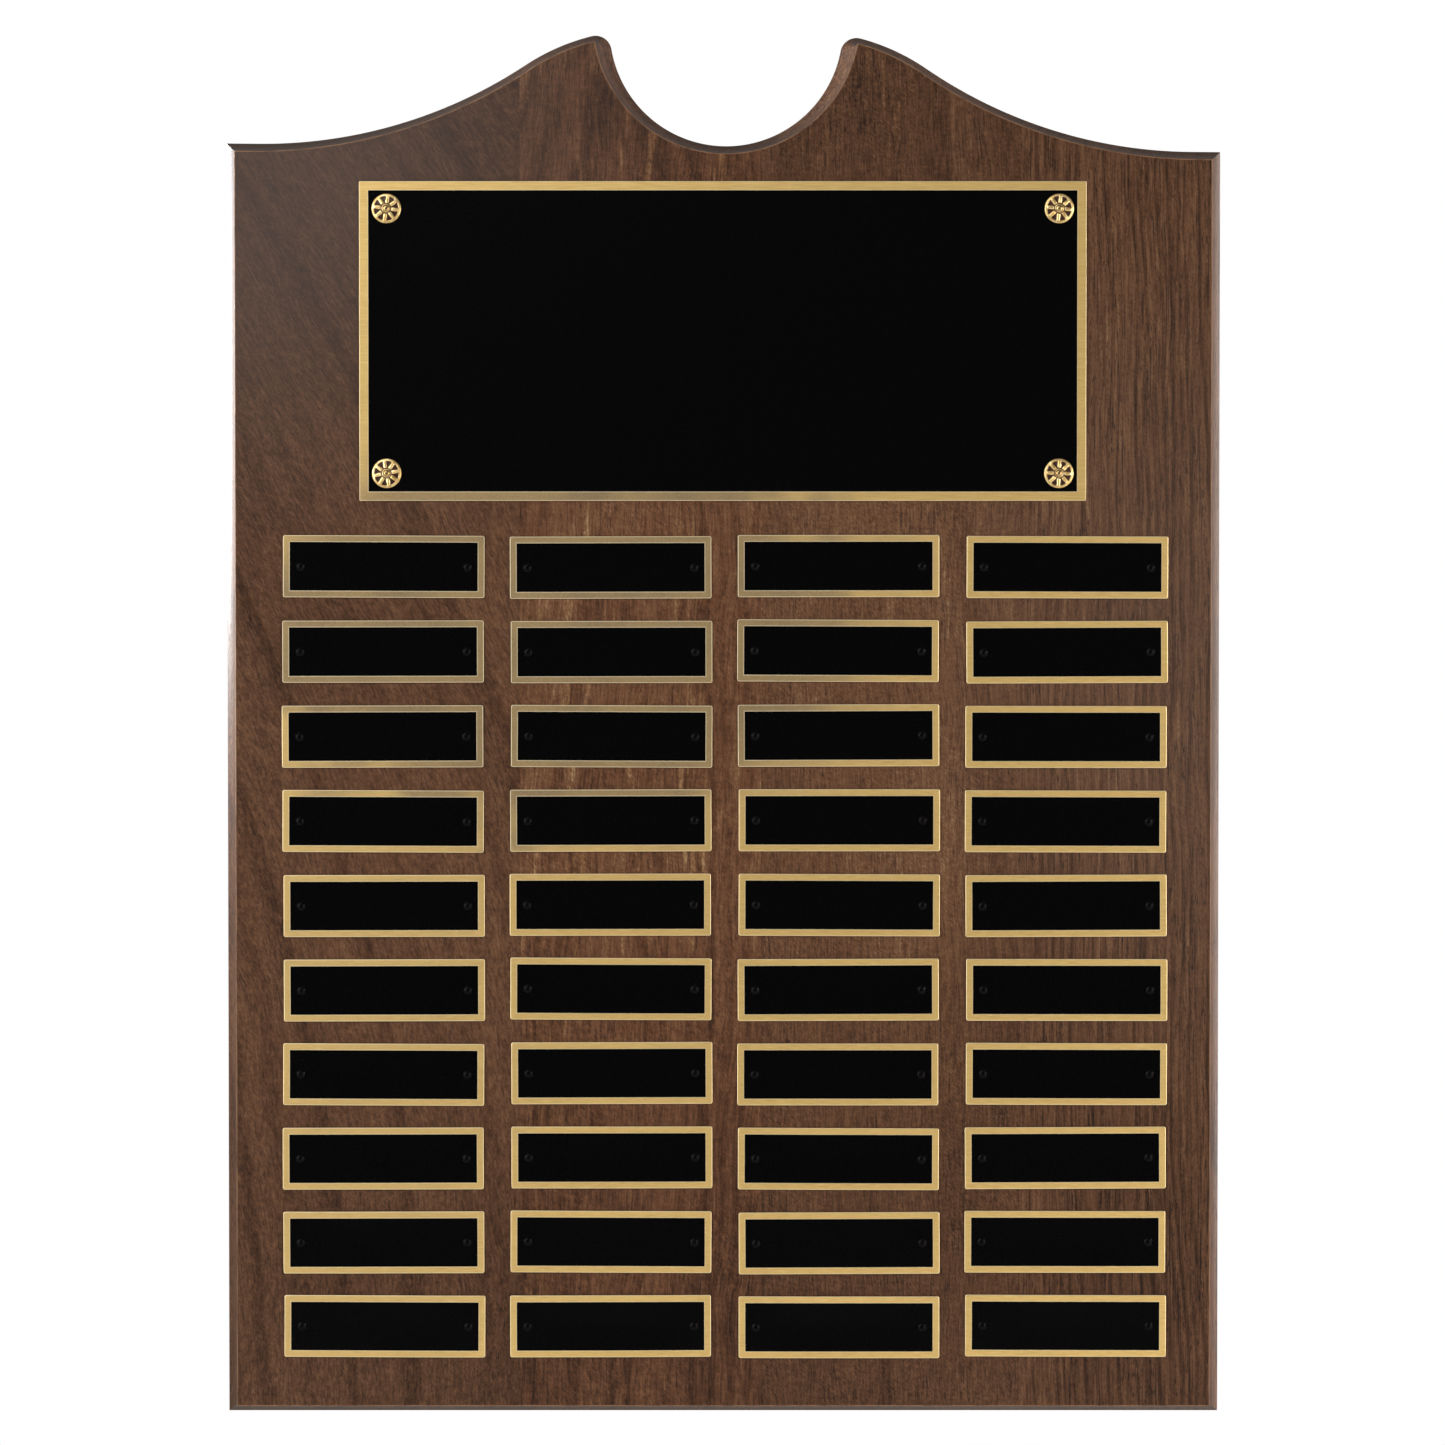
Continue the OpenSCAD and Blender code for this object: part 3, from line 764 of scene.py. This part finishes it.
def pins_piece(name, node, y, shape, material):
    """Round-headed pins in the places of a CAD node's, with the underside of their heads at y."""
    head_r, rise, shank = (value * MM for value in shape)
    shank_r = PIN_SHANK_R * MM
    bm = bmesh.new()
    around, steps = 28, 7
    spokes = [direction(360 * k / around) for k in range(around)]
    ball_r = (head_r**2 + rise**2) / (2 * rise)
    widest = math.asin(head_r / ball_r)
    rounds = [(shank_r * 0.1, -shank), (shank_r, -shank + 1.5 * shank_r), (shank_r, 0.0),
              (head_r * 0.97, 0.0)]
    for i in range(steps):
        bend = widest * (1 - i / steps)
        rounds.append((ball_r * math.sin(bend), rise - ball_r * (1 - math.cos(bend))))
    for x, z in islands(node):
        rings = [[bm.verts.new((x + r * spoke.x, y - depth, z + r * spoke.y)) for spoke in spokes]
                 for r, depth in rounds]
        bridge(bm, rings)
        bm.faces.new(list(reversed(rings[0])))
        tip = bm.verts.new((x, y - rise, z))
        last = rings[-1]
        for k in range(around):
            bm.faces.new((last[k], last[(k + 1) % around], tip))
    piece = link_mesh(name, finish_mesh(bm, name, 40), [material])
    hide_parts(node)


def islands(node):
    """The middle of each separate pin of a CAD node, seen from the front."""
    near = 4 * MM
    spots = []
    for vert in nodes[node].data.vertices:
        for spot in spots:
            if abs(vert.co.x - spot[0].x) < near and abs(vert.co.z - spot[0].z) < near:
                spot.append(vert.co)
                break
        else:
            spots.append([vert.co])
    middles = []
    for spot in spots:
        xs, zs = [c.x for c in spot], [c.z for c in spot]
        middles.append(((min(xs) + max(xs)) / 2, (min(zs) + max(zs)) / 2))
    return middles


def build_fixings():
    brass = bright_brass("stamped_brass", 0.26)
    for index in range(1, 5):
        rosette_piece(index, brass, 0.03 * math.sin(2.3 * index))
    rosette_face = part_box("rosette_1")[0].y
    pins_piece("brass_pins", "rosette_pins", rosette_face, ROSETTE_PIN,
               bright_brass("pin_brass", 0.10, 0.45))
    plate_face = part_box("name_plate_r05_c2")[0].y
    pins_piece("black_pins", "name_plate_pins", plate_face - NAME_PIN_LIFT * MM, NAME_PIN,
               black_pin())


# ---------------------------------------------------------------- studio


def area_light(name, place, target, size, power, colour=(1.0, 1.0, 1.0)):
    data = bpy.data.lights.new(name, "AREA")
    data.shape, data.size, data.size_y = "RECTANGLE", size[0], size[1]
    data.energy, data.color = power, colour
    lamp = bpy.data.objects.new(name, data)
    bpy.context.scene.collection.objects.link(lamp)
    lamp.location = place
    lamp.rotation_euler = (Vector(target) - Vector(place)).to_track_quat("-Z", "Y").to_euler()
    return lamp


def studio_world():
    """White where the camera looks. Other rays see a soft grey, darkest in front and below."""
    g = Graph(bpy.data.worlds.new("studio"))
    bpy.context.scene.world = g.owner
    axes = g.node("ShaderNodeSeparateXYZ", {"Vector": g.node("ShaderNodeTexCoord").outputs["Generated"]})
    fade = g.remap(axes.outputs["Y"], -0.9, 0.1, 0.05, 0.36)
    below = g.remap(axes.outputs["Z"], -0.45, 0.15, 0.12, 1.0)
    seen = g.node("ShaderNodeMix", data_type="FLOAT")
    g.set(seen.inputs[0], g.node("ShaderNodeLightPath").outputs["Is Camera Ray"])
    g.set(seen.inputs[2], g.math("MULTIPLY", fade, below))
    g.set(seen.inputs[3], 1.0)
    inputs = {"Color": (1.0, 1.0, 1.0, 1.0), "Strength": seen.outputs[0]}
    background = g.node("ShaderNodeBackground", inputs)
    g.node("ShaderNodeOutputWorld", {"Surface": background.outputs[0]})


def floor(z, size, y):
    bpy.ops.mesh.primitive_plane_add(size=size, location=(0, y, z))
    plane = bpy.context.object
    plane.name = "floor"
    g = material_graph("pale_floor")
    tone = g.noise(g.place(), (400.0, 400.0, 400.0), 2.0)
    pale = g.ramp(tone, ((0.3, (0.78, 0.76, 0.73)), (0.7, (0.82, 0.80, 0.77))))
    plane.data.materials.append(g.principled(Base_Color=pale, Roughness=0.8))


def camera():
    """Seen square on from a little above the middle, from where the board fills the frame."""
    elevation, distance, view_angle = 0.8, 1.067, 28.7
    target = Vector((-0.0003, -BOARD_T * MM, 0.00044))
    lift = math.radians(elevation)
    data = bpy.data.cameras.new("camera")
    data.sensor_width = 36.0
    data.lens = data.sensor_width / 2 / math.tan(math.radians(view_angle) / 2)
    eye = bpy.data.objects.new("camera", data)
    bpy.context.scene.collection.objects.link(eye)
    eye.location = target + distance * Vector((0, -math.cos(lift), math.sin(lift)))
    eye.rotation_euler = (target - eye.location).to_track_quat("-Z", "Y").to_euler()
    bpy.context.scene.camera = eye


def studio():
    studio_world()
    aim = (0.0, 0.0, 0.0)
    area_light("left_panel", (-1.15, -0.85, 0.15), aim, (0.8, 1.2), 15.6, (0.97, 0.98, 1.0))
    area_light("right_panel", (1.15, -0.85, 0.0), aim, (0.8, 1.2), 12.2, (1.0, 0.97, 0.92))
    area_light("top_panel", (-0.55, -1.1, 0.95), aim, (1.0, 0.6), 6.5, (0.97, 0.98, 1.0))
    area_light("low_strip", (0.0, -0.34, -0.78), (0.0, 0.0, -0.1), (0.9, 0.06), 1.9, (1.0, 0.88, 0.74))
    area_light("glint", (1.1, -0.27, 0.2), (0.0, 0.0, 0.05), (0.04, 0.04), 1.5, (1.0, 0.93, 0.90))
    left_rim = area_light("left_rim", (-0.66, 0.16, 0.20), (-0.19, 0.0, 0.17), (0.2, 0.3), 2.3,
                          (0.95, 0.98, 1.0))
    left_rim.data.spread = math.radians(70)
    area_light("right_rim", (1.2, 0.25, 0.05), (0.19, 0.0, 0.0), (0.5, 1.0), 15.0, (1.0, 0.95, 0.92))
    floor(z=-0.6, size=2.4, y=-0.3)
    scene = bpy.context.scene
    scene.view_settings.view_transform = "Standard"
    scene.view_settings.look = "None"


camera()
build_board()
build_plates()
build_fixings()
studio()
